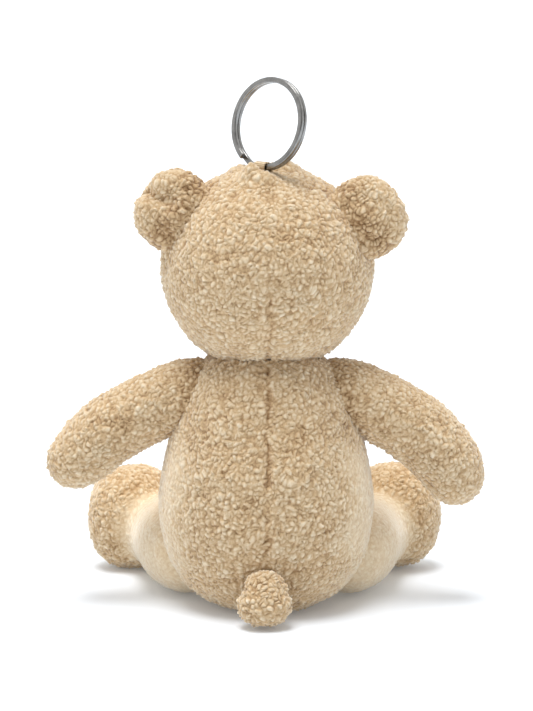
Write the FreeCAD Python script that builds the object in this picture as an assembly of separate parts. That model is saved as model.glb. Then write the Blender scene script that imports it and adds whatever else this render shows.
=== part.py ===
import FreeCAD, Part
import math, os

# Plush bear keychain, sitting. Millimetres, +Z up, the bear faces -Y, its left side is +X.
# Soft pieces are given by the outer face of their cloth; the pile stands out beyond it.

V = FreeCAD.Vector

# ------------------------------------------------------------------ driving dimensions
CLOTH_T = 1.2            # cloth and pile backing thickness
SKIN_GAP = 0.10          # filling to cloth
JOINT_GAP = 0.45         # clearance at each flexing seam

# row origin: middle of the overall box, on the floor
SHIFT_X, SHIFT_Y = -0.13, 7.89

# head
HEAD_C = (0.0, -2.0, 93.2)
HEAD_A, HEAD_B, HEAD_H = 28.0, 24.0, 25.0
NECK_P = (0.0, -1.0, 58.0)
NECK_R = 10.0

# ears
EAR_R = 10.8
EAR_T = 6.4
EAR_FOLD_R = 2.2
EAR_L_FOLD = (24.1, 4.7, 108.7)
EAR_R_FOLD = (-25.1, 4.7, 107.5)
EAR_L_LINE = (0.58, 0.0, -0.815)     # seam line direction, downwards and outwards
EAR_R_LINE = (-0.56, 0.0, -0.828)

# torso, half width against height, and depth as a share of width
TORSO_DEPTH = 0.80
SEAT_R = 13.0
TORSO_PTS = [(0.0, SEAT_R), (2.0, 16.6), (5.5, 20.0), (10.0, 23.6), (15.0, 26.2), (22.0, 28.2),
             (30.0, 28.6), (38.0, 27.8), (46.0, 25.8), (52.0, 22.6), (56.0, 18.6), (59.0, 13.6), (61.5, 10.0)]

# arms: shoulder point, droop below level, ball radius, hand radius, length to the hand's centre
ARM_L_S, ARM_L_DROOP = (21.0, 0.0, 56.2), 30.0
ARM_R_S, ARM_R_DROOP = (-21.0, 0.0, 56.2), 37.5
ARM_ROOT_R, ARM_HAND_R = 9.2, 8.3
ARM_L_LEN, ARM_R_LEN = 34.2, 37.0

# legs
HIP = (24.5, -13.0, 12.8)
HIP_R = 11.8
ANKLE = (28.5, -32.0, 13.0)
ANKLE_R = 10.6
FOOT_C = (36.6, -38.5, 15.6)
FOOT_A, FOOT_B, FOOT_H = 13.2, 9.5, 15.6
FOOT_OUT = 16.0          # toes turned out, degrees
LEG_LIFT_MAX = 35.0      # how far the legs are lifted, degrees
SOLE_AT = 5.6            # sole plane, forward of the foot's centre

# tail
TAIL_ROOT = (0.0, 24.6, 12.4)
TAIL_ROOT_R = 3.0
TAIL_C = (0.0, 27.2, 7.2)
TAIL_A, TAIL_B, TAIL_H = 7.2, 4.6, 6.9

# split ring and hang loop
RING_OD, RING_W, WIRE_T, COIL_GAP = 25.0, 1.5, 1.08, 0.10
RING_N = (0.657, 0.727, 0.199)
WIRE_AT_LOOP = (1.37, 4.0, 120.45)
TAPE_W, TAPE_T = 4.0, 0.5
LOOP_IN_N, LOOP_IN_LO, LOOP_IN_HI = 1.42, -1.02, 1.15
LOOP_PIVOT = -1.9        # below the wire's centre

# face
MUZZLE_C = (0.0, -24.6, 86.0)
MUZZLE = (10.2, 8.2, 7.8)
NOSE_C = (0.0, -32.6, 88.6)
NOSE = (3.5, 1.9, 2.5)
EYE_X, EYE_Z, EYE_R = 9.6, 97.0, 2.4
SHANK_R, SHANK_L = 0.8, 4.4
WASHER_R, WASHER_T = 3.4, 0.8

os.makedirs("parts", exist_ok=True)
OUT = {}


def unit(v):
    v = V(*v)
    v.normalize()
    return v


def frame(origin, x, y, z):
    """Placement whose local axes are x, y, z."""
    m = FreeCAD.Matrix(x.x, y.x, z.x, origin.x,
                       x.y, y.y, z.y, origin.y,
                       x.z, y.z, z.z, origin.z,
                       0, 0, 0, 1)
    return m


def ellipsoid(c, a, b, h, turn=0.0):
    s = Part.makeSphere(1.0)
    s.rotate(V(0, 0, 0), V(1.0, 0.4, 0.2), 67.0)
    s = s.transformGeometry(FreeCAD.Matrix())
    m = FreeCAD.Matrix()
    m.scale(a, b, h)
    s = s.transformGeometry(m)
    if turn:
        s.rotate(V(0, 0, 0), V(0, 0, 1), turn)
    s.translate(V(*c))
    return s


def ball(c, r):
    return Part.makeSphere(r, V(*c))


def box(x0, x1, y0, y1, z0, z1):
    return Part.makeBox(x1 - x0, y1 - y0, z1 - z0, V(x0, y0, z0))


def revolve(pts):
    """Solid of revolution about Z from (z, r) stations; a pole closes each end that has r = 0."""
    p = [V(r, 0, z) for z, r in pts]
    spline = Part.BSplineCurve()
    spline.interpolate(p)
    edges = [spline.toShape()]
    lo, hi = V(0, 0, pts[0][0]), V(0, 0, pts[-1][0])
    if pts[-1][1] > 1e-6:
        edges.append(Part.makeLine(p[-1], hi))
    edges.append(Part.makeLine(hi, lo))
    if pts[0][1] > 1e-6:
        edges.append(Part.makeLine(lo, p[0]))
    f = Part.Face(Part.Wire(edges))
    s = f.revolve(V(0, 0, 0), V(0, 0, 1), 360)
    return s if s.ShapeType == "Solid" else Part.Solid(s)


def capsule(p0, p1, r0, r1):
    """Round-ended limb between two centres: a cone's flank tangent to both end balls."""
    a, b = V(*p0), V(*p1)
    d = b - a
    n = d.Length
    sa = (r0 - r1) / n
    ca = math.sqrt(1 - sa * sa)
    h0, h1 = math.radians(-90), math.asin(sa)
    q = lambda c, r, t: V(r * math.cos(t), 0, c + r * math.sin(t))
    bottom, low = V(0, 0, -r0), q(0, r0, h1)
    high, top = q(n, r1, h1), V(0, 0, n + r1)
    edges = [Part.Arc(bottom, q(0, r0, (h0 + h1) / 2), low).toShape(), Part.makeLine(low, high),
             Part.Arc(high, q(n, r1, (h1 - h0) / 2), top).toShape(), Part.makeLine(top, bottom)]
    s = Part.Face(Part.Wire(edges)).revolve(V(0, 0, 0), V(0, 0, 1), 360)
    s = s if s.ShapeType == "Solid" else Part.Solid(s)
    z = V(d)
    z.normalize()
    x = z.cross(V(0.35, 0.6, 0.71))
    x.normalize()
    y = z.cross(x)
    s.Placement = FreeCAD.Placement(frame(a, x, y, z))
    return s


def solid(s):
    if s.ShapeType == "Solid":
        return s
    best = sorted(s.Solids, key=lambda q: -q.Volume)
    return best[0]


def keep(name, *shapes):
    shapes = [solid(s) for s in shapes]
    OUT[name] = shapes[0] if len(shapes) == 1 else Part.makeCompound(shapes)


def slab(point, normal, size=600.0):
    """Half space box on the side of the plane that the normal points to."""
    n = unit(normal)
    t = n.cross(V(0, 0, 1)) if abs(n.z) < 0.9 else n.cross(V(0, 1, 0))
    t.normalize()
    w = n.cross(t)
    b = Part.makeBox(size, size, size, V(-size / 2, -size / 2, 0))
    b.Placement = FreeCAD.Placement(frame(V(*point), t, w, n))
    return b


# ------------------------------------------------------------------ head
def head_form(off):
    h = ellipsoid(HEAD_C, HEAD_A - off, HEAD_B - off, HEAD_H - off)
    return h.cut(ball(NECK_P, NECK_R + JOINT_GAP + off))


def eye_axis(side):
    """Point on the face and outward direction for one eye."""
    x, z = side * EYE_X, EYE_Z
    dx, dz = (x - HEAD_C[0]) / HEAD_A, (z - HEAD_C[2]) / HEAD_H
    y = HEAD_C[1] - HEAD_B * math.sqrt(1 - dx * dx - dz * dz)
    n = unit(((x - HEAD_C[0]) / HEAD_A ** 2, (y - HEAD_C[1]) / HEAD_B ** 2, (z - HEAD_C[2]) / HEAD_H ** 2))
    return V(x, y, z), n


head_shell = head_form(0).cut(head_form(CLOTH_T))
face_y = HEAD_C[1] - 3.0
shanks, washers, eyes, pockets = [], [], [], []
for side in (1, -1):
    p, n = eye_axis(side)
    # lens-shaped head and shank as one turned piece, its axis along the outward direction
    zc, z0 = 0.55, 0.12
    r0 = math.sqrt(EYE_R ** 2 - (z0 - zc) ** 2)
    t0 = math.asin((z0 - zc) / EYE_R)
    tm = (t0 + math.pi / 2) / 2
    eye = [Part.makeLine(V(0, 0, -SHANK_L), V(SHANK_R, 0, -SHANK_L)), Part.makeLine(V(SHANK_R, 0, -SHANK_L), V(SHANK_R, 0, z0)),
           Part.makeLine(V(SHANK_R, 0, z0), V(r0, 0, z0)),
           Part.Arc(V(r0, 0, z0), V(EYE_R * math.cos(tm), 0, zc + EYE_R * math.sin(tm)), V(0, 0, zc + EYE_R)).toShape(),
           Part.makeLine(V(0, 0, zc + EYE_R), V(0, 0, -SHANK_L))]
    eye = Part.Face(Part.Wire(eye)).revolve(V(0, 0, 0), V(0, 0, 1), 360)
    ex = n.cross(V(0, 0, 1))
    ex.normalize()
    eye.Placement = FreeCAD.Placement(frame(p, ex, n.cross(ex), n))
    eyes.append(solid(eye))
    shanks.append(Part.makeCylinder(SHANK_R + 0.15, 3.0, p - n * 2.2, n))
    w0 = p - n * (CLOTH_T + WASHER_T + 0.45)
    wash = Part.makeCylinder(WASHER_R, WASHER_T, w0, n).cut(Part.makeCylinder(SHANK_R + 0.05, 4.0, w0 - n, n))
    washers.append(solid(wash))
    pockets.append(Part.makeCylinder(WASHER_R + 0.2, 3.0, w0 - n * 0.2, n))
    pockets.append(Part.makeCylinder(SHANK_R + 0.2, SHANK_L + 3.0, p - n * (SHANK_L + 0.2), n))
back = head_shell.cut(slab((0, face_y, 0), (0, -1, 0)))
keep("head_back_left_panel", back.common(slab((0, 0, 0), (1, 0, 0))))
keep("head_back_right_panel", back.common(slab((0, 0, 0), (-1, 0, 0))))
face = head_shell.common(slab((0, face_y, 0), (0, -1, 0)))
for s in shanks:
    face = face.cut(s)
keep("head_face_panel", face)
fill = head_form(CLOTH_T + SKIN_GAP)
for s in pockets:
    fill = fill.cut(s)
keep("head_stuffing", fill)
keep("eye_left", eyes[0])
keep("eye_right", eyes[1])
keep("eye_washers", washers[0], washers[1])

head_clear = ellipsoid(HEAD_C, HEAD_A + 0.12, HEAD_B + 0.12, HEAD_H + 0.12)
muz_o = ellipsoid(MUZZLE_C, *MUZZLE)
muz_i = ellipsoid(MUZZLE_C, *[q - CLOTH_T for q in MUZZLE])
muz_f = ellipsoid(MUZZLE_C, *[q - CLOTH_T - SKIN_GAP for q in MUZZLE])
keep("muzzle_cover", muz_o.cut(muz_i).cut(head_clear))
keep("muzzle_stuffing", muz_f.cut(head_clear))
muz_clear = ellipsoid(MUZZLE_C, *[q + 0.08 for q in MUZZLE])
keep("nose", ellipsoid(NOSE_C, *NOSE).cut(muz_clear))

# ------------------------------------------------------------------ ears
for name, fold, line, sgn in (("ear_left", EAR_L_FOLD, EAR_L_LINE, 1), ("ear_right", EAR_R_FOLD, EAR_R_LINE, -1)):
    a = unit(line)                       # along the seam
    out = V(0, sgn, 0).cross(a)          # away from the head
    if out.x * sgn < 0:
        out = out * -1
    q = V(0, 1, 0)                       # through the thickness, towards the back
    # flat round ear with a rolled edge, its root rounded about the fold line
    disc = Part.makeCylinder(EAR_R, EAR_T, V(0, 0, -EAR_T / 2))
    disc = disc.makeFillet(EAR_T * 0.46, [e for e in disc.Edges if e.Curve.TypeId == "Part::GeomCircle"])
    disc.translate(V(0, 0.6, 0))
    disc = disc.common(box(-30, 30, 0, 30, -10, 10))
    root = Part.makeCylinder(EAR_FOLD_R, 2 * (EAR_R - 2.0), V(-(EAR_R - 2.0), 0, 0), V(1, 0, 0))
    ear = disc.fuse(root)
    ear.Placement = FreeCAD.Placement(frame(V(*fold), a, out, a.cross(out)))
    zc = a.cross(out)
    s = 1 if zc.y > 0 else -1
    keep(name + "_back", ear.common(slab(fold, (zc.x * s, zc.y * s, zc.z * s))))
    keep(name + "_front", ear.common(slab(fold, (-zc.x * s, -zc.y * s, -zc.z * s))))

# ------------------------------------------------------------------ torso
def torso_form(off):
    pts = [(z, r - off) for z, r in [(-2.0, SEAT_R - 3.0)] + TORSO_PTS]
    s = revolve(pts)
    dome_r = NECK_R - off
    s = s.transformGeometry(FreeCAD.Matrix(1, 0, 0, 0, 0, TORSO_DEPTH, 0, 0, 0, 0, 1, 0, 0, 0, 0, 1))
    s = s.cut(box(-60, 60, -60, 60, -20, off))          # flat seat
    neck = Part.makeSphere(dome_r, V(*NECK_P))
    s = s.fuse(neck)
    g = JOINT_GAP + off
    for sgn, sh, droop, length in ((1, ARM_L_S, ARM_L_DROOP, ARM_L_LEN), (-1, ARM_R_S, ARM_R_DROOP, ARM_R_LEN)):
        t = math.radians(droop)
        hand = (sh[0] + sgn * length * math.cos(t), sh[1], sh[2] - length * math.sin(t))
        s = s.cut(capsule(sh, hand, ARM_ROOT_R + g, ARM_HAND_R + g))
    for sx in (1, -1):
        hip = V(sx * HIP[0], HIP[1], HIP[2])
        for lift in (0.0, LEG_LIFT_MAX / 2.0, LEG_LIFT_MAX):
            d = V(sx * ANKLE[0], ANKLE[1], ANKLE[2]) - hip
            t = math.radians(-lift)
            ank = hip + V(d.x, d.y * math.cos(t) - d.z * math.sin(t), d.y * math.sin(t) + d.z * math.cos(t))
            s = s.cut(capsule(hip, ank, HIP_R + g, ANKLE_R + g))
    return s


torso_shell = torso_form(0).cut(torso_form(CLOTH_T))
side_y = -4.0
back = torso_shell.cut(slab((0, side_y, 0), (0, -1, 0)))
keep("torso_back_left_panel", back.common(slab((0, 0, 0), (1, 0, 0))))
keep("torso_back_right_panel", back.common(slab((0, 0, 0), (-1, 0, 0))))
keep("torso_belly_panel", torso_shell.common(slab((0, side_y, 0), (0, -1, 0))))
keep("torso_stuffing", torso_form(CLOTH_T + SKIN_GAP))

# ------------------------------------------------------------------ arms
for name, sh, droop, length, sgn in (("arm_left", ARM_L_S, ARM_L_DROOP, ARM_L_LEN, 1),
                                     ("arm_right", ARM_R_S, ARM_R_DROOP, ARM_R_LEN, -1)):
    t = math.radians(droop)
    hand = (sh[0] + sgn * length * math.cos(t), sh[1], sh[2] - length * math.sin(t))

    def arm_form(off):
        return capsule(sh, hand, ARM_ROOT_R - off, ARM_HAND_R - off)

    shell = arm_form(0).cut(arm_form(CLOTH_T))
    keep(name + "_back_panel", shell.common(slab(sh, (0, 1, 0))))
    keep(name + "_front_panel", shell.common(slab(sh, (0, -1, 0))))
    keep(name + "_stuffing", arm_form(CLOTH_T + SKIN_GAP))

# ------------------------------------------------------------------ legs
for name, sx in (("leg_left", 1), ("leg_right", -1)):
    hip = (sx * HIP[0], HIP[1], HIP[2])
    ank = (sx * ANKLE[0], ANKLE[1], ANKLE[2])
    foot = (sx * FOOT_C[0], FOOT_C[1], FOOT_C[2])
    fw = V(sx * math.sin(math.radians(FOOT_OUT)), -math.cos(math.radians(FOOT_OUT)), 0)

    def leg_form(off):
        tube = capsule(hip, ank, HIP_R - off, ANKLE_R - off)
        f = ellipsoid(foot, FOOT_A - off, FOOT_B - off, FOOT_H - off, sx * FOOT_OUT)
        return tube.fuse(f)

    sole_p = V(*foot) + fw * SOLE_AT
    floor = box(-100, 100, -100, 100, -10, 0.0)
    full = leg_form(0)
    trunk = full.cut(slab(sole_p, fw)).cut(floor)
    hollow = leg_form(CLOTH_T).cut(slab(sole_p + fw * 5, fw))
    shell = trunk.cut(hollow)
    mid = (V(*ank) - V(*hip)).cross(V(0, 0, 1))
    if mid.x * sx < 0:
        mid = mid * -1
    keep(name + "_outer_panel", shell.common(slab(hip, mid)))
    keep(name + "_inner_panel", shell.common(slab(hip, mid * -1)))
    sole = full.common(slab(sole_p, fw)).cut(slab(sole_p + fw * CLOTH_T, fw)).cut(floor)
    if sx < 0:
        sole = left_sole.mirror(V(0, 0, 0), V(1, 0, 0))
    else:
        left_sole = sole
    keep(name.replace("leg", "foot") + "_sole", sole)
    fill = leg_form(CLOTH_T + SKIN_GAP).cut(slab(sole_p - fw * SKIN_GAP, fw))
    keep(name + "_stuffing", fill)

# ------------------------------------------------------------------ tail
tail = ellipsoid(TAIL_C, TAIL_A, TAIL_B, TAIL_H).fuse(
    Part.makeCylinder(TAIL_ROOT_R, 8.0, V(-4.0, TAIL_ROOT[1], TAIL_ROOT[2]), V(1, 0, 0)))
tail_n = unit((0, 0.92, 0.39))
keep("tail_top_piece", tail.common(slab(TAIL_ROOT, tail_n)))
keep("tail_under_piece", tail.common(slab(TAIL_ROOT, tail_n * -1)))

# ------------------------------------------------------------------ split ring
n = unit(RING_N)
u = V(0, 0, 1).cross(n)
u.normalize()
w = n.cross(u)
wire_r = (RING_OD - RING_W) / 2.0
B = V(*WIRE_AT_LOOP)
C = B + w * wire_r
layer = (WIRE_T + COIL_GAP) / 2.0


def section(angle, z):
    """Rounded flat-wire section across the ring at one angle and height."""
    e = 0.22
    x0, x1, z0, z1 = wire_r - RING_W / 2, wire_r + RING_W / 2, z - WIRE_T / 2, z + WIRE_T / 2
    k = e * (1 - math.sqrt(0.5))
    P = [V(x0 + e, 0, z0), V(x1 - e, 0, z0), V(x1 - k, 0, z0 + k), V(x1, 0, z0 + e), V(x1, 0, z1 - e),
         V(x1 - k, 0, z1 - k), V(x1 - e, 0, z1), V(x0 + e, 0, z1), V(x0 + k, 0, z1 - k), V(x0, 0, z1 - e),
         V(x0, 0, z0 + e), V(x0 + k, 0, z0 + k)]
    es = [Part.makeLine(P[0], P[1]), Part.Arc(P[1], P[2], P[3]).toShape(), Part.makeLine(P[3], P[4]),
          Part.Arc(P[4], P[5], P[6]).toShape(), Part.makeLine(P[6], P[7]), Part.Arc(P[7], P[8], P[9]).toShape(),
          Part.makeLine(P[9], P[10]), Part.Arc(P[10], P[11], P[0]).toShape()]
    wv = Part.Wire(es)
    wv.rotate(V(0, 0, 0), V(0, 0, 1), angle)
    return wv


half_step = 16.0         # half the angle over which the wire crosses from coil to coil
lower = Part.Face(section(half_step, -layer)).revolve(V(0, 0, 0), V(0, 0, 1), 360 - 2 * half_step)
upper = Part.Face(section(half_step, layer)).revolve(V(0, 0, 0), V(0, 0, 1), 360 - 2 * half_step)
cross = []
for k in range(0, 9):
    f = k / 8.0
    s = f * f * (3 - 2 * f)
    cross.append(section(-half_step + 2 * half_step * f, -layer + 2 * layer * s))
step = Part.makeLoft(cross, True, False)
ring = lower.fuse([upper, step])
ring.rotate(V(0, 0, 0), V(0, 0, 1), 248.0)
ring.Placement = FreeCAD.Placement(frame(C, u, w, n)).multiply(ring.Placement)
keep("split_ring", ring)

# ------------------------------------------------------------------ hang loop (tape, width along u)
hw = TAPE_W / 2.0
outer = box(-hw, hw, LOOP_IN_LO - TAPE_T, LOOP_IN_HI + TAPE_T, -LOOP_IN_N - TAPE_T, LOOP_IN_N + TAPE_T)
outer = outer.makeFillet(0.85, [e for e in outer.Edges if abs(e.tangentAt(e.FirstParameter).x) > 0.9])
inner = box(-hw - 1, hw + 1, LOOP_IN_LO, LOOP_IN_HI, -LOOP_IN_N, LOOP_IN_N)
inner = inner.makeFillet(0.4, [e for e in inner.Edges if abs(e.tangentAt(e.FirstParameter).x) > 0.9])
foot_tab = box(-hw, hw, LOOP_PIVOT, LOOP_IN_LO - TAPE_T + 0.1, -TAPE_T, TAPE_T)
foot_end = Part.makeCylinder(TAPE_T, TAPE_W, V(-hw, LOOP_PIVOT, 0), V(1, 0, 0))
loop = outer.cut(inner).fuse([foot_tab, foot_end])
loop.Placement = FreeCAD.Placement(frame(B, u, w, n))
keep("hang_loop", loop)

# ------------------------------------------------------------------ write the pieces
lo = V(1e9, 1e9, 1e9)
hi = V(-1e9, -1e9, -1e9)
for name, s in OUT.items():
    s = s.copy()
    s.translate(V(SHIFT_X, SHIFT_Y, 0))
    OUT[name] = s
    bb = FreeCAD.BoundBox()
    for p in s.tessellate(0.05)[0]:
        bb.add(p)
    lo = V(min(lo.x, bb.XMin), min(lo.y, bb.YMin), min(lo.z, bb.ZMin))
    hi = V(max(hi.x, bb.XMax), max(hi.y, bb.YMax), max(hi.z, bb.ZMax))
    s.exportStep("parts/%s.step" % name)
    print("%-24s valid %s solids %d volume %.1f  x %.1f..%.1f y %.1f..%.1f z %.1f..%.1f" % (
        name, s.isValid(), len(s.Solids), s.Volume, bb.XMin, bb.XMax, bb.YMin, bb.YMax, bb.ZMin, bb.ZMax))
print("overall", lo, hi, "pieces", len(OUT))
print("ring axis", n, "tangent", u, "up", w)
print("wire at loop", B + V(SHIFT_X, SHIFT_Y, 0), "ring centre", C + V(SHIFT_X, SHIFT_Y, 0),
      "loop pivot", B + w * LOOP_PIVOT + V(SHIFT_X, SHIFT_Y, 0))
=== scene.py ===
import bpy
import math
import numpy as np
from mathutils import Vector, Matrix


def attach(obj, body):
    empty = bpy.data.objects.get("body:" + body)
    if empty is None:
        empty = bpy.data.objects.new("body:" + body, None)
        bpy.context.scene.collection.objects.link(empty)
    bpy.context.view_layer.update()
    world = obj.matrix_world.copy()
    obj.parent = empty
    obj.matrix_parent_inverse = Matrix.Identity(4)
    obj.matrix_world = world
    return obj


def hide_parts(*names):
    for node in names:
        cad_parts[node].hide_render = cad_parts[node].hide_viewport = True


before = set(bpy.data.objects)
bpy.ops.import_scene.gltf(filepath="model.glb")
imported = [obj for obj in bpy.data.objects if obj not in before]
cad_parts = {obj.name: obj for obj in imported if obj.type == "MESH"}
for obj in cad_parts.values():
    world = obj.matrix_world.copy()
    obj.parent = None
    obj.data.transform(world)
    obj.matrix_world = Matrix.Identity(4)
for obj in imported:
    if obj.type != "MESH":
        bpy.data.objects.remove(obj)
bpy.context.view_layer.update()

SCN = bpy.context.scene
SCN.view_settings.view_transform = "Standard"

# All shapes below are worked out in mm in the model's own axes (torso axis at x = 0, y = 0), then moved to the row frame.
DX, DY = -0.13, 7.89
U = 0.1                        # working scale while a piece is simulated: 1 unit is 10 mm


# ------------------------------------------------------------------ noise in numpy
def _hash(i, j, k, salt):
    h = (i.astype(np.uint32) * np.uint32(0x8DA6B343)) ^ (j.astype(np.uint32) * np.uint32(0xD8163841)) \
        ^ (k.astype(np.uint32) * np.uint32(0xCB1AB31F)) ^ np.uint32(salt * 2654435761 % 4294967296)
    h ^= h >> np.uint32(15)
    h *= np.uint32(0x2C1B3C6D)
    h ^= h >> np.uint32(12)
    h *= np.uint32(0x297A2D39)
    h ^= h >> np.uint32(15)
    return h.astype(np.float32) / np.float32(4294967296.0)


def value_noise(p, salt=0):
    """Smooth noise from -1 to 1 at points p, one feature per unit."""
    b = np.floor(p).astype(np.int64)
    f = (p - b).astype(np.float32)
    f = f * f * f * (f * (f * 6 - 15) + 10)
    out = np.zeros(len(p), np.float32)
    for a in (0, 1):
        wx = f[:, 0] if a else 1 - f[:, 0]
        for c in (0, 1):
            wy = f[:, 1] if c else 1 - f[:, 1]
            for d in (0, 1):
                wz = f[:, 2] if d else 1 - f[:, 2]
                out += wx * wy * wz * _hash(b[:, 0] + a, b[:, 1] + c, b[:, 2] + d, salt)
    return out * 2 - 1


def cells(p, salt=0, second=False):
    """Distance to the nearest of one scattered point per unit cell, and to the second nearest."""
    b = np.floor(p).astype(np.int64)
    f1 = np.full(len(p), 9.0, np.float32)
    f2 = np.full(len(p), 9.0, np.float32)
    ident = np.zeros(len(p), np.float32)
    for a in (-1, 0, 1):
        for c in (-1, 0, 1):
            for d in (-1, 0, 1):
                i, j, k = b[:, 0] + a, b[:, 1] + c, b[:, 2] + d
                dx = i + _hash(i, j, k, salt + 1) - p[:, 0]
                dy = j + _hash(i, j, k, salt + 2) - p[:, 1]
                dz = k + _hash(i, j, k, salt + 3) - p[:, 2]
                r = np.sqrt(dx * dx + dy * dy + dz * dz).astype(np.float32)
                near = r < f1
                f2 = np.where(near, f1, np.minimum(f2, r))
                ident = np.where(near, _hash(i, j, k, salt + 4), ident)
                f1 = np.where(near, r, f1)
    return f1, f2, ident


def smooth01(x, a, b):
    t = np.clip((x - a) / (b - a), 0, 1)
    return t * t * (3 - 2 * t)


# ------------------------------------------------------------------ mesh helpers
def new_mesh(name, verts, faces):
    me = bpy.data.meshes.new(name)
    me.from_pydata([tuple(map(float, v)) for v in verts], [], [tuple(int(i) for i in f) for f in faces])
    me.update()
    return me


def new_object(name, me):
    ob = bpy.data.objects.new(name, me)
    SCN.collection.objects.link(ob)
    return ob


def drop(ob):
    me = ob.data
    bpy.data.objects.remove(ob)
    if me.users == 0:
        bpy.data.meshes.remove(me)


def read_co(me):
    a = np.empty(len(me.vertices) * 3, np.float32)
    me.vertices.foreach_get("co", a)
    return a.reshape(-1, 3)


def read_no(me):
    a = np.empty(len(me.vertices) * 3, np.float32)
    me.vertices.foreach_get("normal", a)
    return a.reshape(-1, 3)


def write_co(me, co):
    me.vertices.foreach_set("co", np.ascontiguousarray(co, np.float32).ravel())
    me.update()


def edges_of(me):
    a = np.empty(len(me.edges) * 2, np.int32)
    me.edges.foreach_get("vertices", a)
    return a.reshape(-1, 2)


def relax(me, times, share=0.5, hold=None):
    """Laplacian smoothing, with hold from 0 (free) to 1 (kept) per vertex."""
    co, e = read_co(me).astype(np.float64), edges_of(me)
    n = np.bincount(e.ravel(), minlength=len(co)).astype(float)[:, None]
    w = share if hold is None else share * (1 - hold)[:, None]
    for _ in range(times):
        s = np.zeros_like(co)
        for ax in range(3):
            s[:, ax] = np.bincount(e[:, 0], co[e[:, 1], ax], len(co)) + np.bincount(e[:, 1], co[e[:, 0], ax], len(co))
        co += (s / np.maximum(n, 1) - co) * w
    write_co(me, co)


def lathe(profile, depth_back, depth_front, centre, seg=64):
    """Closed form of revolution from (z, half width); y is scaled apart for the back (+y) and the front."""
    verts, faces = [], []
    pr = [p for p in profile]
    for z, r in pr:
        for k in range(seg):
            a = 2 * math.pi * k / seg
            y = math.sin(a) * r
            y *= depth_back if y > 0 else depth_front
            verts.append((centre[0] + math.cos(a) * r, centre[1] + y, centre[2] + z))
    for i in range(len(pr) - 1):
        for k in range(seg):
            k2 = (k + 1) % seg
            faces.append((i * seg + k, i * seg + k2, (i + 1) * seg + k2, (i + 1) * seg + k))
    lo = len(verts)
    verts.append((centre[0], centre[1], centre[2] + pr[0][0]))
    verts.append((centre[0], centre[1], centre[2] + pr[-1][0]))
    top = (len(pr) - 1) * seg
    for k in range(seg):
        k2 = (k + 1) % seg
        faces.append((k2, k, lo))
        faces.append((top + k, top + k2, lo + 1))
    return verts, faces


def spline_profile(points, n):
    """Smooth curve through (z, r) stations by arc length, Catmull-Rom."""
    P = np.array(points, float)
    P = np.vstack([2 * P[0] - P[1], P, 2 * P[-1] - P[-2]])
    out = []
    m = len(P) - 3
    for i in range(m):
        p0, p1, p2, p3 = P[i:i + 4]
        for t in np.linspace(0, 1, n, endpoint=(i == m - 1)):
            out.append(0.5 * ((2 * p1) + (-p0 + p2) * t + (2 * p0 - 5 * p1 + 4 * p2 - p3) * t * t
                              + (-p0 + 3 * p1 - 3 * p2 + p3) * t ** 3))
    out = np.array(out)
    out[:, 1] = np.maximum(out[:, 1], 0.0)
    return [tuple(v) for v in out]


def blob(c, r, turn=None, seg=32, power=2.0):
    """Rounded form: an ellipsoid, or fuller with power above 2."""
    verts, faces = [], []
    M = turn if turn is not None else Matrix.Identity(3)
    n = seg // 2
    f = lambda v: math.copysign(abs(v) ** (2.0 / power), v)
    for i in range(n + 1):
        t = math.pi * i / n - math.pi / 2
        for k in range(seg):
            a = 2 * math.pi * k / seg
            v = M @ Vector((r[0] * f(math.cos(t)) * f(math.cos(a)), r[1] * f(math.cos(t)) * f(math.sin(a)), r[2] * f(math.sin(t))))
            verts.append((c[0] + v.x, c[1] + v.y, c[2] + v.z))
    for i in range(n):
        for k in range(seg):
            k2 = (k + 1) % seg
            faces.append((i * seg + k, i * seg + k2, (i + 1) * seg + k2, (i + 1) * seg + k))
    return verts, faces


def limb(centres, squash_y=1.0, seg=32):
    """Closed tube through (x, y, z, r) centres with round ends, as a chain of balls and cones."""
    C = np.array(centres, float)
    P = np.vstack([2 * C[0] - C[1], C, 2 * C[-1] - C[-2]])
    path = []
    m = len(P) - 3
    for i in range(m):
        p0, p1, p2, p3 = P[i:i + 4]
        for t in np.linspace(0, 1, 8, endpoint=(i == m - 1)):
            path.append(0.5 * ((2 * p1) + (-p0 + p2) * t + (2 * p0 - 5 * p1 + 4 * p2 - p3) * t * t
                               + (-p0 + 3 * p1 - 3 * p2 + p3) * t ** 3))
    path = np.array(path)
    T = np.gradient(path[:, :3], axis=0)
    T /= np.linalg.norm(T, axis=1)[:, None]
    rings = []
    for k in range(8, 0, -1):                        # first end cap
        a = math.pi / 2 * k / 8
        rings.append((path[0, :3] - T[0] * path[0, 3] * math.sin(a), T[0], path[0, 3] * math.cos(a)))
    for q, t in zip(path, T):
        rings.append((q[:3], t, q[3]))
    for k in range(1, 9):
        a = math.pi / 2 * k / 8
        rings.append((path[-1, :3] + T[-1] * path[-1, 3] * math.sin(a), T[-1], path[-1, 3] * math.cos(a)))
    verts, faces = [], []
    side = Vector((0, 1, 0))
    for c, t, r in rings:
        t = Vector(t)
        s = (side - t * side.dot(t)).normalized()
        w = t.cross(s)
        r = max(r, 0.02)
        for k in range(seg):
            a = 2 * math.pi * k / seg
            v = s * (math.cos(a) * r) + w * (math.sin(a) * r)
            verts.append((c[0] + v.x, c[1] + v.y * squash_y, c[2] + v.z))
    n = len(rings)
    for i in range(n - 1):
        for k in range(seg):
            k2 = (k + 1) % seg
            faces.append((i * seg + k, i * seg + k2, (i + 1) * seg + k2, (i + 1) * seg + k))
    faces.append(tuple(range(seg))[::-1])
    faces.append(tuple((n - 1) * seg + k for k in range(seg)))
    return verts, faces


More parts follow.
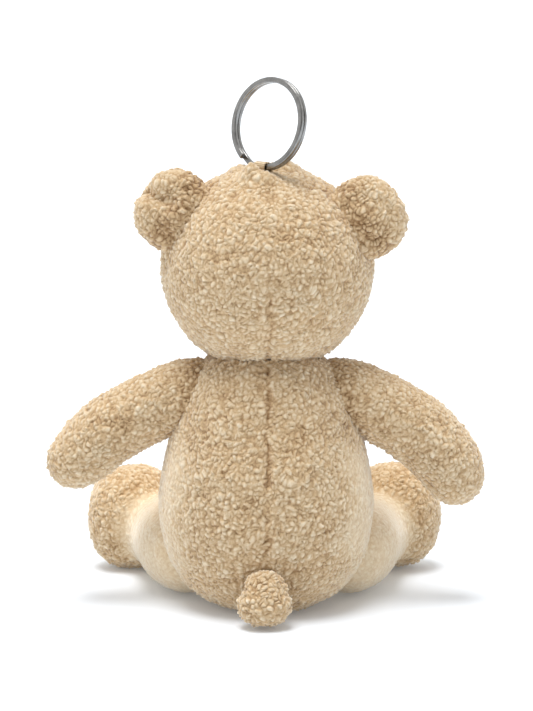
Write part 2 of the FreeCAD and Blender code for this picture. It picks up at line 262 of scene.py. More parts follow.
def form(name, parts, voxel, relaxing=6):
    """One closed skin round several closed parts, in working units."""
    verts, faces = [], []
    for v, f in parts:
        o = len(verts)
        verts += v
        faces += [tuple(i + o for i in q) for q in f]
    me = new_mesh(name, np.array(verts) * U, faces)
    ob = new_object(name, me)
    m = ob.modifiers.new("remesh", "REMESH")
    m.mode = "VOXEL"
    m.voxel_size = voxel * U
    m.use_smooth_shade = True
    ob = take(ob)
    relax(ob.data, relaxing, 0.5)
    return ob


def take(ob):
    """Replaces an object's mesh by what its modifiers give."""
    dg = bpy.context.evaluated_depsgraph_get()
    dg.update()
    me = bpy.data.meshes.new_from_object(ob.evaluated_get(dg))
    old = ob.data
    ob.modifiers.clear()
    ob.data = me
    if old.users == 0:
        bpy.data.meshes.remove(old)
    return ob


def stuff(ob, cap, pressure=4.0, held=None, shrink=0.0):
    """Cloth skin blown out by its filling, held along its seams, and no point moved further than cap mm."""
    rest, out = read_co(ob.data).copy(), read_no(ob.data).copy()
    if held is not None:
        g = ob.vertex_groups.new(name="held")
        for w in (0.35, 0.7, 1.0):
            idx = np.nonzero(held > w - 0.3)[0]
            g.add([int(i) for i in idx], w, "REPLACE")
    c = ob.modifiers.new("cloth", "CLOTH")
    s = c.settings
    s.quality = 4
    s.mass = 0.25
    s.air_damping = 2.0
    s.tension_stiffness = 12
    s.compression_stiffness = 12
    s.shear_stiffness = 6
    s.bending_stiffness = 0.6
    s.shrink_min = shrink
    s.use_pressure = True
    s.uniform_pressure_force = pressure
    s.effector_weights.gravity = 0.0
    if held is not None:
        s.vertex_group_mass = "held"
    c.collision_settings.use_collision = False
    c.point_cache.frame_start, c.point_cache.frame_end = 1, 20
    for f in range(1, 21):
        SCN.frame_set(f)
    ob = take(ob)
    SCN.frame_set(1)
    co = read_co(ob.data)
    d = co - rest
    n = np.linalg.norm(d, axis=1, keepdims=True)
    lim = cap * U
    d *= np.tanh(n / lim) * lim / np.maximum(n, 1e-9)
    d -= out * (0.75 * float((d * out).sum(1).mean()))          # the panels swell between the seams, the size stays as drawn
    write_co(ob.data, rest + d)
    relax(ob.data, 1, 0.4)
    return ob


def finer(ob, levels):
    m = ob.modifiers.new("sub", "SUBSURF")
    m.subdivision_type = "CATMULL_CLARK"
    m.levels = m.render_levels = levels
    return take(ob)


# ------------------------------------------------------------------ fleece
def curl_field(p, salt):
    """Height of the curly pile, about -0.5 to 0.5, and a tone from 0 (between curls) to 1 (curl tips), with painted
    shade between curls and painted light on curl tips.
    """
    warp = np.stack([value_noise(p / 1.3, salt + 11), value_noise(p / 1.3, salt + 12), value_noise(p / 1.3, salt + 13)], 1)
    broad = np.stack([value_noise(p / 4.2, salt + 21), value_noise(p / 4.2, salt + 22), value_noise(p / 4.2, salt + 23)], 1)
    a1, a2, ida = cells((p + warp * 0.5 + broad * 0.8) / 1.38, salt)
    c1, c2, idc = cells((p + warp * 0.35) / 0.80, salt + 61)
    lump = np.sqrt(np.clip(1 - (a1 / 1.05) ** 2, 0, 1))
    knot = np.sqrt(np.clip(1 - (c1 / 1.0) ** 2, 0, 1))
    crack = smooth01(a2 - a1, -0.02, 0.42)
    clump = value_noise(p / 2.9, salt + 41) * 0.7 + value_noise(p / 6.5, salt + 43) * 0.4
    pit = smooth01(clump, -0.15, -0.75)
    grain = value_noise(p / 0.42, salt + 5)
    h = lump * (0.44 + 0.40 * ida) * (0.40 + 0.60 * crack) + 0.30 * knot * (0.45 + 1.0 * idc) + 0.10 * clump - 0.10 * pit + 0.06 * grain
    # painted shade in the cracks and pits, painted light on lump and knot tips; ida adds a random tone per curl
    tone_and_painted_light = 0.05 + 0.34 * crack * lump + 0.34 * knot * (0.45 + idc) + 0.09 * ida + 0.05 * clump - 0.06 * pit
    return h - 0.52, np.clip(tone_and_painted_light, 0, 1)


def fleece(ob, body, nodes, salt, amp=1.0, seams=(), nap=None, tint=None, mat=None, shape=None, painted_shade=None):
    """Gives a stuffed skin its pile, seams and tones, with painted shade in the seam grooves and creases, moves it to
    the row frame and hands it to the body.
    seams: functions of points giving the distance in mm to a seam, with depth and width.
    nap: function giving 0 (curly) to 1 (combed smooth)."""
    me = ob.data
    co = read_co(me) / U
    no = read_no(me)
    if shape is not None:
        co = shape(co, no)
        write_co(me, co * U)
        no = read_no(me)
    h, tone_and_painted_light = curl_field(co, salt)
    smooth = nap(co) if nap is not None else np.zeros(len(co), np.float32)
    # combed pile: long faint streaks in place of curls
    st = np.stack([co[:, 0] / 0.9, co[:, 1] / 0.9, co[:, 2] / 3.2], 1)
    streak = value_noise(st, salt + 71) * 0.6 + value_noise(co / 0.55, salt + 72) * 0.4
    k = 1 - smooth
    lift = amp * h * (k + 0.22 * smooth) + amp * 0.10 * streak * smooth
    tone_and_painted_light = tone_and_painted_light * k + (0.56 + 0.42 * tone_and_painted_light + 0.07 * streak) * smooth
    seam_groove_shade = np.zeros(len(co), np.float32)
    for dist, depth, width in seams:
        d = dist(co)
        g = np.exp(-(d / width) ** 2)
        pinch = np.clip(0.72 + 1.1 * value_noise(co / 2.4, salt + 81), 0.05, 1.5)
        lift = lift * (1 - 0.35 * g) - depth * g * pinch
        lift += 0.28 * depth * np.exp(-((np.abs(d) - 2.2 * width) / (1.4 * width)) ** 2)
        seam_groove_shade = np.maximum(seam_groove_shade, g * pinch * min(1.0, depth / 0.6))
    co = co + no * lift[:, None]
    # painted shade in creases, from the given shade function
    if painted_shade is not None:
        tone_and_painted_light = tone_and_painted_light - painted_shade(co)
    # painted shade along the seam grooves
    tone_and_painted_light = np.clip(tone_and_painted_light - 0.16 * seam_groove_shade, 0, 1)
    co[:, 2] = 0.5 * (co[:, 2] + np.sqrt(co[:, 2] ** 2 + 0.09))          # pile pressed flat where it meets the ground
    write_co(me, (co + np.array([DX, DY, 0.0])) * 0.001)
    me.shade_smooth()
    # the seam attribute holds the painted seam shade
    for nm, val in (("tone_and_painted_light", tone_and_painted_light), ("comb", smooth), ("seam", seam_groove_shade)):
        a = me.attributes.new(nm, "FLOAT", "POINT")
        a.data.foreach_set("value", val.astype(np.float32))
    me.materials.clear()
    me.materials.append(mat or FLEECE)
    ob.vertex_groups.clear()
    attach(ob, body)
    if nodes:
        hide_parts(*nodes)
    return ob


# ------------------------------------------------------------------ materials
def nodes_of(name):
    m = bpy.data.materials.new(name)
    m.use_nodes = True
    nt = m.node_tree
    return m, nt, nt.nodes["Principled BSDF"]


def ramp(nt, stops):
    r = nt.nodes.new("ShaderNodeValToRGB")
    e = r.color_ramp.elements
    e[0].position, e[0].color = stops[0][0], (*stops[0][1], 1)
    e[1].position, e[1].color = stops[-1][0], (*stops[-1][1], 1)
    for pos, c in stops[1:-1]:
        x = e.new(pos)
        x.color = (*c, 1)
    return r


def lin(hexed):
    v = [int(hexed[i:i + 2], 16) / 255 for i in (0, 2, 4)]
    return tuple(c / 12.92 if c <= 0.04045 else ((c + 0.055) / 1.055) ** 2.4 for c in v)


def fleece_material(name, stops, sheen=0.35, var=0.5):
    m, nt, p = nodes_of(name)
    L = nt.links.new
    tc = nt.nodes.new("ShaderNodeTexCoord")
    # the tone attribute carries painted crevice shade and painted light on curl tips
    tone_and_painted_light = nt.nodes.new("ShaderNodeAttribute")
    tone_and_painted_light.attribute_name = "tone_and_painted_light"
    fib = nt.nodes.new("ShaderNodeTexNoise")
    fib.inputs["Scale"].default_value = 3200
    fib.inputs["Detail"].default_value = 3
    L(tc.outputs["Object"], fib.inputs["Vector"])
    add = nt.nodes.new("ShaderNodeMath")
    add.operation = "MULTIPLY_ADD"
    L(fib.outputs["Fac"], add.inputs[0])
    add.inputs[1].default_value = 0.34
    off = nt.nodes.new("ShaderNodeMath")
    off.operation = "SUBTRACT"
    L(tone_and_painted_light.outputs["Fac"], off.inputs[0])
    off.inputs[1].default_value = 0.17
    L(off.outputs[0], add.inputs[2])
    r = ramp(nt, stops)
    L(add.outputs[0], r.inputs["Fac"])
    big = nt.nodes.new("ShaderNodeTexNoise")
    big.inputs["Scale"].default_value = 95
    big.inputs["Detail"].default_value = 3
    L(tc.outputs["Object"], big.inputs["Vector"])
    hue = ramp(nt, [(0.3, (1.0, 0.955, 0.89)), (0.7, (1.0, 1.0, 1.0))])
    L(big.outputs["Fac"], hue.inputs["Fac"])
    mul = nt.nodes.new("ShaderNodeMix")
    mul.data_type = "RGBA"
    mul.blend_type = "MULTIPLY"
    mul.inputs[0].default_value = var
    L(r.outputs["Color"], mul.inputs[6])
    L(hue.outputs["Color"], mul.inputs[7])
    L(mul.outputs[2], p.inputs["Base Color"])
    ro = nt.nodes.new("ShaderNodeMapRange")
    ro.inputs["To Min"].default_value = 0.82
    ro.inputs["To Max"].default_value = 0.98
    L(fib.outputs["Fac"], ro.inputs["Value"])
    L(ro.outputs["Result"], p.inputs["Roughness"])
    bump = nt.nodes.new("ShaderNodeBump")
    bump.inputs["Strength"].default_value = 0.55
    bump.inputs["Distance"].default_value = 0.00025
    L(fib.outputs["Fac"], bump.inputs["Height"])
    L(bump.outputs["Normal"], p.inputs["Normal"])
    p.inputs["Specular IOR Level"].default_value = 0.15
    p.inputs["Sheen Weight"].default_value = sheen
    p.inputs["Sheen Roughness"].default_value = 0.45
    p.inputs["Sheen Tint"].default_value = (1.0, 0.97, 0.90, 1)
    return m


# ramps run from dark painted shade between curls to pale painted light on curl tips
FLEECE = fleece_material("bear_fleece", [
    (0.0, lin("6E4D2E")), (0.18, lin("A2815B")), (0.42, lin("CDAF87")), (0.70, lin("E3CEAD")), (1.0, lin("F3E7D1"))], 1.0, 0.5)
SHORT = fleece_material("bear_short_pile", [
    (0.0, lin("BCA27E")), (0.35, lin("DCC9AA")), (0.65, lin("E8DAC0")), (1.0, lin("F5ECDC"))], 0.6, 0.4)


def steel_material():
    m, nt, p = nodes_of("ring_steel")
    L = nt.links.new
    tc = nt.nodes.new("ShaderNodeTexCoord")
    n = nt.nodes.new("ShaderNodeTexNoise")
    n.inputs["Scale"].default_value = 420
    n.inputs["Detail"].default_value = 6
    L(tc.outputs["Object"], n.inputs["Vector"])
    c = ramp(nt, [(0.3, lin("7F7E7C")), (0.7, lin("9E9D9B"))])
    L(n.outputs["Fac"], c.inputs["Fac"])
    L(c.outputs["Color"], p.inputs["Base Color"])
    r = nt.nodes.new("ShaderNodeMapRange")
    r.inputs["To Min"].default_value = 0.14
    r.inputs["To Max"].default_value = 0.30
    L(n.outputs["Fac"], r.inputs["Value"])
    L(r.outputs["Result"], p.inputs["Roughness"])
    f = nt.nodes.new("ShaderNodeTexNoise")
    f.inputs["Scale"].default_value = 5200
    L(tc.outputs["Object"], f.inputs["Vector"])
    b = nt.nodes.new("ShaderNodeBump")
    b.inputs["Strength"].default_value = 0.08
    b.inputs["Distance"].default_value = 0.00003
    L(f.outputs["Fac"], b.inputs["Height"])
    L(b.outputs["Normal"], p.inputs["Normal"])
    p.inputs["Metallic"].default_value = 1.0
    return m


STEEL = steel_material()

# ------------------------------------------------------------------ torso
VOX = 1.22
LV = 2
torso_pts = [(0.3, 0.0), (0.4, 8.0), (0.9, 13.5), (2.2, 18.0), (4.6, 21.6), (8.0, 24.2), (13.0, 26.8), (20.0, 28.6), (28.0, 29.3),
             (36.0, 28.7), (44.0, 27.2), (52.0, 25.0), (58.0, 22.9), (63.0, 20.9), (66.5, 18.5), (69.5, 14.4), (71.2, 8.0), (71.8, 0.0)]
torso = form("torso_fleece", [lathe(spline_profile(torso_pts, 5), 0.86, 0.80, (0.5, 0, 0))], VOX)
co = read_co(torso.data) / U
back_seam = lambda p: np.where(p[:, 1] > 0, np.abs(p[:, 0] - 0.15 - 0.35 * value_noise(np.stack([p[:, 2] * 0, p[:, 2] * 0, p[:, 2] / 9.0], 1), 3)), 60.0)
side_seam = lambda p: np.abs(p[:, 1] + 4.0)
torso = stuff(torso, 1.0, 3.0, np.exp(-(back_seam(co) / 1.6) ** 2) + 0.6 * np.exp(-(side_seam(co) / 1.6) ** 2))
torso = finer(torso, LV)


def torso_nap(p):
    side = smooth01(np.abs(p[:, 0] - 0.6) + 3.0 * value_noise(p / 7.0, 91), 19.0, 27.0)
    low = smooth01(p[:, 2], 52.0, 40.0)
    return 0.65 * side * low


def torso_shape(p, n):
    # faint folds across the lower back
    f = np.sin(p[:, 2] / 2.9 + 0.9 * value_noise(p / 11.0, 5)) * smooth01(p[:, 1], 4, 14)
    w = np.exp(-((np.abs(p[:, 0] - 0.5) - 6.5) / 8.0) ** 2) * smooth01(p[:, 2], 14, 30) * smooth01(p[:, 2], 66, 52)
    q = p + n * (0.28 * f * w)[:, None]
    q[:, 1] += 3.4 * np.exp(-(p[:, 0] / 13.0) ** 2) * smooth01(p[:, 2], 9.0, 1.0) * smooth01(p[:, 1], 3.0, 9.0)   # rump under the tail
    return q


fleece(torso, "torso", [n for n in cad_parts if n.startswith("torso_")], 100, 1.0,
       [(back_seam, 0.55, 0.85), (side_seam, 0.3, 0.8)], torso_nap, shape=torso_shape)

# ------------------------------------------------------------------ head
head_pts = [(66.2, 0.0), (66.5, 6.5), (67.6, 12.0), (69.6, 16.6), (72.7, 20.3), (77.0, 23.8), (82.0, 26.5), (88.0, 28.2), (95.0, 28.7),
            (102.0, 27.4), (108.0, 24.6), (112.6, 20.6), (116.2, 15.6), (118.6, 10.2), (119.7, 5.0), (120.0, 0.0)]
head = form("head_fleece", [lathe(spline_profile(head_pts, 5), 0.86, 0.88, (0.2, -2.0, 0))], VOX)
head_seam = lambda p: np.where(p[:, 1] > -2, np.abs(p[:, 0] + 0.3 - 0.5 * value_noise(np.stack([p[:, 2] * 0, p[:, 2] * 0, p[:, 2] / 8.0], 1), 7)) + 1.2 * smooth01(p[:, 2], 88, 100), 60.0)
head_side = lambda p: np.abs(p[:, 1] + 5.0)
co = read_co(head.data) / U
head = stuff(head, 0.9, 3.0, np.exp(-(head_seam(co) / 1.6) ** 2) + 0.5 * np.exp(-(head_side(co) / 1.6) ** 2))
head = finer(head, LV)


def head_shape(p, n):
    # the pile stands higher on the crown, on both sides of the loop and behind it, and is pinched where the loop is sewn in
    bump = lambda x, y, sx, sy: np.exp(-(((p[:, 0] - x) / sx) ** 2 + ((p[:, 1] - y) / sy) ** 2))
    a = 3.9 * bump(4.6, 7.4, 2.6, 2.2) + 2.6 * bump(0.4, 9.4, 3.0, 1.9) + 2.4 * bump(-4.6, -1.2, 3.8, 3.2) + 1.5 * bump(7.8, 1.0, 3.0, 4.0)
    pit = bump(1.4, 3.8, 2.0, 2.6)
    up = smooth01(n[:, 2], 0.5, 0.85)
    q = p + n * ((0.35 * a - 1.5 * pit) * up)[:, None]
    q[:, 2] += 0.65 * a * up
    return q


def head_ear_crease_shade(p):
    # painted shade in the creases under the ears
    out = np.zeros(len(p), np.float32)
    for f, l in (((24.1, 4.7, 108.7), (0.58, 0.0, -0.815)), ((-25.1, 4.7, 107.5), (-0.56, 0.0, -0.828))):
        r = p - np.array(f)
        t = np.clip(r @ np.array(l), -10, 10)
        d = np.linalg.norm((r - t[:, None] * np.array(l)) * np.array([1.0, 0.6, 1.0]), axis=1)
        out = np.maximum(out, 0.24 * np.exp(-(np.maximum(d - 2.0, 0) / 2.6) ** 2))
    return out


fleece(head, "head", ["head_back_left_panel", "head_back_right_panel", "head_face_panel", "head_stuffing"], 200, 1.0,
       [(head_seam, 0.55, 0.85), (head_side, 0.3, 0.8)], None, shape=head_shape, painted_shade=head_ear_crease_shade)

# muzzle, nose and mouth
muz = form("muzzle_fleece", [blob((0.2, -25.4, 86.0), (10.4, 8.0, 7.9), power=2.15)], 1.0, 3)
muz = finer(stuff(muz, 0.3), LV)
fleece(muz, "head", ["muzzle_cover", "muzzle_stuffing"], 260, 0.22, [], lambda p: np.full(len(p), 0.55, np.float32), mat=SHORT)


# ------------------------------------------------------------------ ears
def ear(name, body, fold, line, sgn, salt, valley):
    a = Vector(line).normalized()
    out = Vector((0, sgn, 0)).cross(a)
    if out.x * sgn < 0:
        out = -out
    c = Vector(fold) + out * 0.6 + a * (0.3 if sgn > 0 else 0.9)
    M = Matrix((a, Vector((0, 1, 0)), out)).transposed()
    root = Vector(fold) + Vector((0, 0.4, 0)) + out * 0.4
    ob = form(name, [blob(c, (11.5, 4.0, 10.9), M, power=2.3), blob(root, (8.8, 4.8, 3.4), M)], VOX * 0.85)
    A, O, F = np.array(a), np.array(out), np.array(fold)
    edge = lambda p: np.abs(p[:, 1] - F[1] + 2.0 + 0.018 * ((p - np.array(c)) ** 2).sum(1))
    co = read_co(ob.data) / U
    ob = stuff(ob, 0.6, 3.0, np.exp(-(edge(co) / 1.2) ** 2) * 0.8)
    ob = finer(ob, LV)

    def shape(p, n):
        r = p - np.array(c)
        s, o = r @ A, r @ O
        q = p.copy()
        q[:, 1] += -0.020 * (s * s + np.maximum(o, 0) ** 2) + 0.7          # cupped towards the face
        behind = smooth01(n[:, 1], -0.2, 0.5)
        if valley:
            d = (s + 1.2 - 0.25 * (o - 5)) / 2.2
            q -= n * (2.3 * np.exp(-d * d) * smooth01(o, -2, 6) * behind)[:, None]
        q += n * (0.8 * smooth01(np.sqrt(s * s + o * o), 5.5, 8.5) * behind)[:, None]
        return q

    # painted shade along the fold where the ear meets the head
    fleece(ob, body, [body + "_back", body + "_front"], salt, 0.95, [(edge, 0.25, 0.7)], None, shape=shape,
           painted_shade=lambda p: 0.20 * np.exp(-(((p - F) @ O - 0.5) / 3.2) ** 2))


ear("ear_left_fleece", "ear_left", (24.1, 4.7, 108.7), (0.58, 0, -0.815), 1, 300, True)
ear("ear_right_fleece", "ear_right", (-25.1, 4.7, 107.5), (-0.56, 0, -0.828), -1, 340, False)

# ------------------------------------------------------------------ arms
left_arm = [(19.6, 0, 58.9, 9.5), (24, 0, 57.6, 9.8), (32.3, 0, 54.3, 9.6), (43.4, 0, 48.2, 9.6), (49.9, 0, 42.3, 9.0), (52.6, 0, 40.0, 8.2)]
right_arm = [(-18.8, 0, 58.7, 9.6), (-23, 0, 57.5, 10.0), (-28.9, 0, 55.3, 9.8), (-40.9, 0, 48.2, 9.9), (-49.0, 0, 39.8, 9.4), (-51.0, 0, 35.8, 8.5)]
for side, pts, salt in (("left", left_arm, 400), ("right", right_arm, 440)):
    ob = form("arm_%s_fleece" % side, [limb(pts, 0.94)], VOX)
    co = read_co(ob.data) / U
    seam = lambda p: np.abs(p[:, 1])
    ob = stuff(ob, 0.8, 3.0, 0.8 * np.exp(-(seam(co) / 1.3) ** 2))
    ob = finer(ob, LV)
    # painted shade on the arm near the shoulder crease against the torso
    fleece(ob, "arm_" + side, [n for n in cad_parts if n.startswith("arm_%s_" % side)], salt, 1.0, [(seam, 0.25, 0.7)], None,
           painted_shade=lambda p: 0.16 * smooth01(np.abs(p[:, 0]) - 0.25 * (62 - p[:, 2]), 25.0, 20.5))

# ------------------------------------------------------------------ legs
for side, sx, salt in (("left", 1, 500), ("right", -1, 540)):
    turn = Matrix.Rotation(math.radians(16.0 * sx), 3, "Z")
    tube = limb([(sx * 23.0, -9, 12.6, 12.2), (sx * 25.0, -14, 12.9, 12.6), (sx * 27.2, -24, 12.5, 11.7), (sx * 29.4, -32, 12.1, 11.3)])
    more = 2.4 if sx > 0 else 0.4
    foot = blob((sx * (36.4 + more), -38.6, 15.6 - 0.3 * more), (13.6, 9.2, 15.5), turn, power=2.3)
    ob = form("leg_%s_fleece" % side, [tube, foot], VOX, 5)
    fw = np.array([sx * math.sin(math.radians(16)), -math.cos(math.radians(16)), 0])
    fc = np.array([sx * (36.6 + more), -38.5, 15.6 - 0.3 * more])
    co = read_co(ob.data) / U
    rim = lambda p, fw=fw, fc=fc: np.where((p - fc) @ fw > 2.0, np.abs((p - fc) @ fw - 5.6), 60.0)
    ob = stuff(ob, 0.8, 3.0, 0.8 * np.exp(-(rim(co) / 1.3) ** 2))
    ob = finer(ob, LV)
    nap = lambda p, fw=fw, fc=fc: 0.85 * smooth01((p - fc) @ fw, -7.0, -10.5)
    fleece(ob, "leg_" + side, [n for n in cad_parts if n.startswith("leg_%s_" % side)], salt, 0.95, [(rim, 0.4, 0.8)], nap)
    pad = form("foot_%s_pad" % side, [blob(tuple(fc + fw * 5.3), (11.3, 5.2, 13.1), turn, power=2.15)], 1.0, 3)
    pad = finer(pad, LV)
    fleece(pad, "leg_" + side, ["foot_%s_sole" % side], salt + 20, 0.18, [], lambda p: np.full(len(p), 0.6, np.float32), mat=SHORT)

# ------------------------------------------------------------------ tail
tail = form("tail_fleece", [blob((1.0, 27.2, 6.3), (7.4, 5.0, 5.7), power=2.2), blob((0.7, 25.7, 11.0), (6.1, 3.9, 4.8))], 1.0, 8)
tail = finer(stuff(tail, 0.5, 3.0), LV)
fleece(tail, "tail", ["tail_top_piece", "tail_under_piece"], 600, 1.15, [], None)

# ------------------------------------------------------------------ small hard and sewn pieces
def tape_material():
    m, nt, p = nodes_of("loop_tape")
    L = nt.links.new
    tc = nt.nodes.new("ShaderNodeTexCoord")
    w1 = nt.nodes.new("ShaderNodeTexWave")
    w1.bands_direction = "Z"
    w1.inputs["Scale"].default_value = 620
    w1.inputs["Distortion"].default_value = 1.2
    w2 = nt.nodes.new("ShaderNodeTexWave")
    w2.bands_direction = "DIAGONAL"
    w2.inputs["Scale"].default_value = 480
    w2.inputs["Distortion"].default_value = 1.2
    for w_ in (w1, w2):
        L(tc.outputs["Object"], w_.inputs["Vector"])
    mx = nt.nodes.new("ShaderNodeMath")
    mx.operation = "MULTIPLY"
    L(w1.outputs["Fac"], mx.inputs[0])
    L(w2.outputs["Fac"], mx.inputs[1])
    r = ramp(nt, [(0.0, lin("A98F6C")), (0.5, lin("CDB795")), (1.0, lin("E4D3B6"))])
    L(mx.outputs[0], r.inputs["Fac"])
    L(r.outputs["Color"], p.inputs["Base Color"])
    b = nt.nodes.new("ShaderNodeBump")
    b.inputs["Strength"].default_value = 0.6
    b.inputs["Distance"].default_value = 0.0001
    L(mx.outputs[0], b.inputs["Height"])
    L(b.outputs["Normal"], p.inputs["Normal"])
    p.inputs["Roughness"].default_value = 0.85
    return m


def gloss_material(name, dark, light, rough, scale=900):
    m, nt, p = nodes_of(name)
    L = nt.links.new
    tc = nt.nodes.new("ShaderNodeTexCoord")
    n_ = nt.nodes.new("ShaderNodeTexNoise")
    n_.inputs["Scale"].default_value = scale
    n_.inputs["Detail"].default_value = 4
    L(tc.outputs["Object"], n_.inputs["Vector"])
    r = ramp(nt, [(0.3, lin(dark)), (0.7, lin(light))])
    L(n_.outputs["Fac"], r.inputs["Fac"])
    L(r.outputs["Color"], p.inputs["Base Color"])
    q = nt.nodes.new("ShaderNodeMapRange")
    q.inputs["To Min"].default_value = rough
    q.inputs["To Max"].default_value = rough + 0.08
    L(n_.outputs["Fac"], q.inputs["Value"])
    L(q.outputs["Result"], p.inputs["Roughness"])
    return m


TAPE = tape_material()
EYE = gloss_material("eye_gloss", "140C08", "24160E", 0.10)
WASHER = gloss_material("washer_plastic", "C9C7C0", "DAD8D2", 0.45)
THREAD = gloss_material("nose_thread", "3A2418", "5A3C2A", 0.55, 2600)
for nm, mat in (("eye_left", EYE), ("eye_right", EYE), ("eye_washers", WASHER)):
    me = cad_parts[nm].data
    for i in range(len(me.materials)):
        me.materials[i] = mat


def satin_nose():
    """Padded satin stitch: rows of thread laid side to side over a rounded triangle."""
    seg, rows = 160, 48
    verts, faces = [], []
    for i in range(rows + 1):
        t = math.pi * i / rows - math.pi / 2
        for k in range(seg):
            a = 2 * math.pi * k / seg
            x, y, z = math.cos(t) * math.cos(a), math.cos(t) * math.sin(a), math.sin(t)
            wide = 3.5 * (0.80 + 0.22 * z)
            ridge = 1 + 0.05 * abs(math.sin((x * wide) * math.pi / 0.42)) * (1 - abs(z) ** 3)
            verts.append(((x * wide + DX) * 0.001, (-32.5 + y * 1.95 * ridge + DY) * 0.001, (88.6 + z * 2.5 * (0.97 + 0.03 * ridge)) * 0.001))
    for i in range(rows):
        for k in range(seg):
            k2 = (k + 1) % seg
            faces.append((i * seg + k, i * seg + k2, (i + 1) * seg + k2, (i + 1) * seg + k))
    ob = new_object("nose_stitch", new_mesh("nose_stitch", verts, faces))
    ob.data.shade_smooth()
    ob.data.materials.append(THREAD)
    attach(ob, "head")
    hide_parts("nose")


def tube(points, r, seg=10):
    verts, faces = [], []
    P = np.array(points, float)
    T = np.gradient(P, axis=0)
    for q, t in zip(P, T):
        t = Vector(t).normalized()
        s_ = Vector((0, 1, 0.05))
        s_ = (s_ - t * s_.dot(t)).normalized()
        w_ = t.cross(s_)
        for k in range(seg):
            a = 2 * math.pi * k / seg
            v = Vector(q) + s_ * (math.cos(a) * r) + w_ * (math.sin(a) * r)
            verts.append(((v.x + DX) * 0.001, (v.y + DY) * 0.001, v.z * 0.001))
    for i in range(len(P) - 1):
        for k in range(seg):
            k2 = (k + 1) % seg
            faces.append((i * seg + k, i * seg + k2, (i + 1) * seg + k2, (i + 1) * seg + k))
    faces.append(tuple(range(seg))[::-1])
    faces.append(tuple((len(P) - 1) * seg + k for k in range(seg)))
    return verts, faces


def mouth():
    """Short thread line under the nose and a shallow smile each side, lying on the muzzle."""
    def on(x, z):
        q = 1 - (x / 10.4) ** 2 - ((z - 86.0) / 7.9) ** 2
        return (x, -25.4 - 8.0 * math.sqrt(max(q, 0.05)) - 0.30, z)
    lines = [[on(0.0, 86.6 - 0.32 * i) for i in range(10)]]
    for sgn in (1, -1):
        lines.append([on(sgn * 4.2 * i / 12, 83.7 - 1.5 * math.sin(math.pi * 0.5 * i / 12) * (1 - 0.45 * (i / 12) ** 2)) for i in range(13)])
    verts, faces = [], []
    for ln in lines:
        v, f = tube(ln, 0.28)
        o = len(verts)
        verts += v
        faces += [tuple(i + o for i in q) for q in f]
    ob = new_object("mouth_stitch", new_mesh("mouth_stitch", verts, faces))
    ob.data.shade_smooth()
    ob.data.materials.append(THREAD)
    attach(ob, "head")


satin_nose()
mouth()

# ------------------------------------------------------------------ split ring
n = Vector((0.657, 0.727, 0.199)).normalized()
u = Vector((0, 0, 1)).cross(n).normalized()
w = n.cross(u)
wire_r, ring_w, wire_t = 11.75, 1.5, 1.08
B = Vector((1.37, 4.0, 120.45))
C = B + w * wire_r
layer = (wire_t + 0.10) / 2


def ring_mesh():
    e = 0.24
    x0, x1, z0, z1 = -ring_w / 2, ring_w / 2, -wire_t / 2, wire_t / 2
    prof = []
    for cx, cz, a0 in ((x1 - e, z1 - e, 0), (x0 + e, z1 - e, 90), (x0 + e, z0 + e, 180), (x1 - e, z0 + e, 270)):
        for k in range(5):
            a = math.radians(a0 + 90 * k / 4)
            prof.append((cx + e * math.cos(a), cz + e * math.sin(a)))
    K = len(prof)
    step = 16.0
    angles = np.concatenate([np.arange(step, 360 - step, 2.0), np.arange(360 - step, 360 + step, 1.0), np.arange(360 + step, 720 - step + 0.1, 2.0)])
    verts, faces = [], []
    for a in angles:
        f = min(max((a - (360 - step)) / (2 * step), 0), 1)
        z = -layer + 2 * layer * f * f * (3 - 2 * f)
        t = math.radians(a + 248.0)
        for x, dz in prof:
            r = wire_r + x
            v = C + u * (r * math.cos(t)) + w * (r * math.sin(t)) + n * (z + dz)
            verts.append(((v.x + DX) * 0.001, (v.y + DY) * 0.001, v.z * 0.001))
    for i in range(len(angles) - 1):
        for k in range(K):
            k2 = (k + 1) % K
            faces.append((i * K + k, i * K + k2, (i + 1) * K + k2, (i + 1) * K + k))
    faces.append(tuple(range(K))[::-1])
    faces.append(tuple((len(angles) - 1) * K + k for k in range(K)))
    return new_mesh("split_ring_wire", verts, faces)


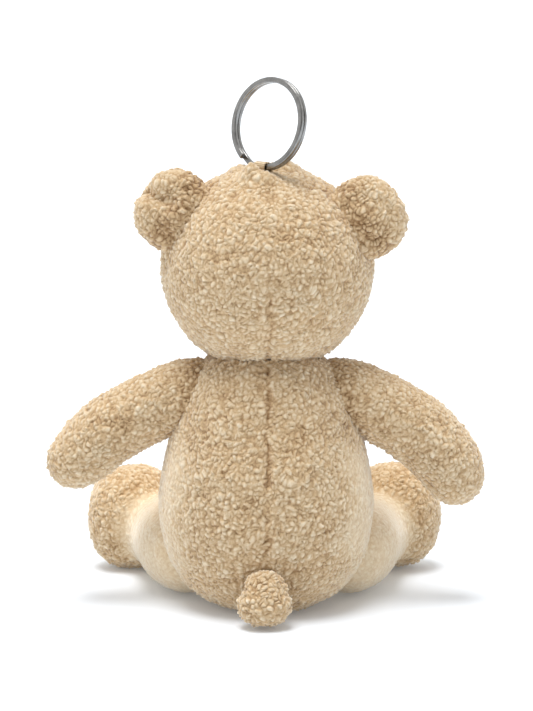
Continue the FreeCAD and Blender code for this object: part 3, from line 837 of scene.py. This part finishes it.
def loop_mesh(lo=-1.02, hi=1.15, half=1.42, piv=-1.9, thick=0.5, wide=4.0):
    """Folded tape: up one side, over the wire, down the other, the two ends lying together at the foot."""
    r = half + thick / 2
    path = [(piv - 0.2, -thick * 0.52), (piv + 0.3, -thick * 0.52), (lo - thick * 0.4, -thick * 0.56), (lo + 0.05, -r * 0.80)]
    mid = hi - half * 0.4
    path += [(lo + 0.5, -r), (0.5 * (lo + mid), -r), (mid - 0.2, -r)]
    path += [(mid + math.sin(math.pi * k / 12) * (hi + thick / 2 - mid), -r * math.cos(math.pi * k / 12)) for k in range(1, 12)]
    path += [(a, -b_) for a, b_ in reversed(path[:7])]
    P = np.array(path)
    for _ in range(2):                                     # Chaikin rounding
        Q = [P[0]]
        for i in range(len(P) - 1):
            Q += [0.75 * P[i] + 0.25 * P[i + 1], 0.25 * P[i] + 0.75 * P[i + 1]]
        P = np.array(Q + [P[-1]])
    T = np.gradient(P, axis=0)
    T /= np.linalg.norm(T, axis=1)[:, None]
    N = np.stack([-T[:, 1], T[:, 0]], 1)
    verts, faces = [], []
    cols = 17
    sect = [(-wide / 2 + wide * k / (cols - 1), 0.5) for k in range(cols)]
    sect = sect + [(x, -0.5) for x, _ in reversed(sect)]
    K = len(sect)
    for i, (pt, nn) in enumerate(zip(P, N)):
        for x, side_ in sect:
            edge_ = max(0.0, abs(x) - (wide / 2 - 0.25)) / 0.25
            t = thick * 0.92 * side_ * (1 - 0.35 * edge_ ** 2) * (1 + 0.05 * math.sin(i * 1.1 + x * 5))
            q = pt + nn * t
            v = B + u * x + w * float(q[0]) + n * float(q[1])
            verts.append(((v.x + DX) * 0.001, (v.y + DY) * 0.001, v.z * 0.001))
    for i in range(len(P) - 1):
        for k in range(K):
            k2 = (k + 1) % K
            faces.append((i * K + k, i * K + k2, (i + 1) * K + k2, (i + 1) * K + k))
    faces.append(tuple(range(K))[::-1])
    faces.append(tuple((len(P) - 1) * K + k for k in range(K)))
    return new_mesh("hang_loop_tape", verts, faces)


tape = new_object("hang_loop_tape", loop_mesh())
tape.data.shade_smooth()
tape.data.materials.append(TAPE)
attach(tape, "hang_loop")
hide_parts("hang_loop")

ring = new_object("split_ring_wire", ring_mesh())
ring.data.shade_smooth()
wn = ring.modifiers.new("wn", "WEIGHTED_NORMAL")
wn.keep_sharp = True
ring.data.materials.append(STEEL)
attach(ring, "split_ring")
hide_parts("split_ring")

# ------------------------------------------------------------------ camera, floor, light
def look(cam, target):
    d = Vector(target) - cam.location
    cam.rotation_euler = d.to_track_quat("-Z", "Y").to_euler()


cam_data = bpy.data.cameras.new("camera")
cam_data.lens = 130.5
cam_data.sensor_width = 36
cam_data.clip_end = 50
cam = bpy.data.objects.new("camera", cam_data)
SCN.collection.objects.link(cam)
target = Vector((0.00027, 0.00789, 0.0689))
D = 0.70
el = math.radians(10.0)
cam.location = target + Vector((0, math.cos(el), math.sin(el))) * D
look(cam, target)
SCN.camera = cam

fl = new_object("floor", new_mesh("floor", [(-12, -12, 0), (12, -12, 0), (12, 12, 0), (-12, 12, 0)], [(0, 1, 2, 3)]))
fm, nt, p = nodes_of("floor_paper")
p.inputs["Base Color"].default_value = (0.78, 0.82, 0.87, 1)
p.inputs["Roughness"].default_value = 0.9
p.inputs["Specular IOR Level"].default_value = 0.1
p.inputs["Emission Color"].default_value = (1, 1, 1, 1)
p.inputs["Emission Strength"].default_value = 0.10
fl.data.materials.append(fm)

world = bpy.data.worlds.new("studio")
SCN.world = world
world.use_nodes = True
nt = world.node_tree
L = nt.links.new
bg = nt.nodes["Background"]
tc = nt.nodes.new("ShaderNodeTexCoord")
dot = nt.nodes.new("ShaderNodeVectorMath")
dot.operation = "DOT_PRODUCT"
dot.inputs[1].default_value = (0.0, 0.96, 0.28)
L(tc.outputs["Generated"], dot.inputs[0])
mr = nt.nodes.new("ShaderNodeMapRange")
mr.inputs["From Min"].default_value = 0.1
mr.inputs["From Max"].default_value = 0.9
mr.inputs["To Min"].default_value = 1.0
mr.inputs["To Max"].default_value = 0.13
L(dot.outputs["Value"], mr.inputs["Value"])
lp = nt.nodes.new("ShaderNodeLightPath")             # the backdrop itself stays white from every side
seen = nt.nodes.new("ShaderNodeMath")
seen.operation = "MAXIMUM"
L(mr.outputs["Result"], seen.inputs[0])
L(lp.outputs["Is Camera Ray"], seen.inputs[1])
L(seen.outputs[0], bg.inputs["Strength"])
bg.inputs["Color"].default_value = (1, 1, 1, 1)


def sun(name, direction, strength, angle):
    d = bpy.data.lights.new(name, "SUN")
    d.energy = strength
    d.angle = math.radians(angle)
    o = bpy.data.objects.new(name, d)
    SCN.collection.objects.link(o)
    o.rotation_euler = (-Vector(direction)).to_track_quat("-Z", "Y").to_euler()
    return o


sun("top_light", (0.10, 0.10, 1.0), 2.7, 30)
sun("front_fill", (0.5, 0.8, 0.9), 0.22, 50)
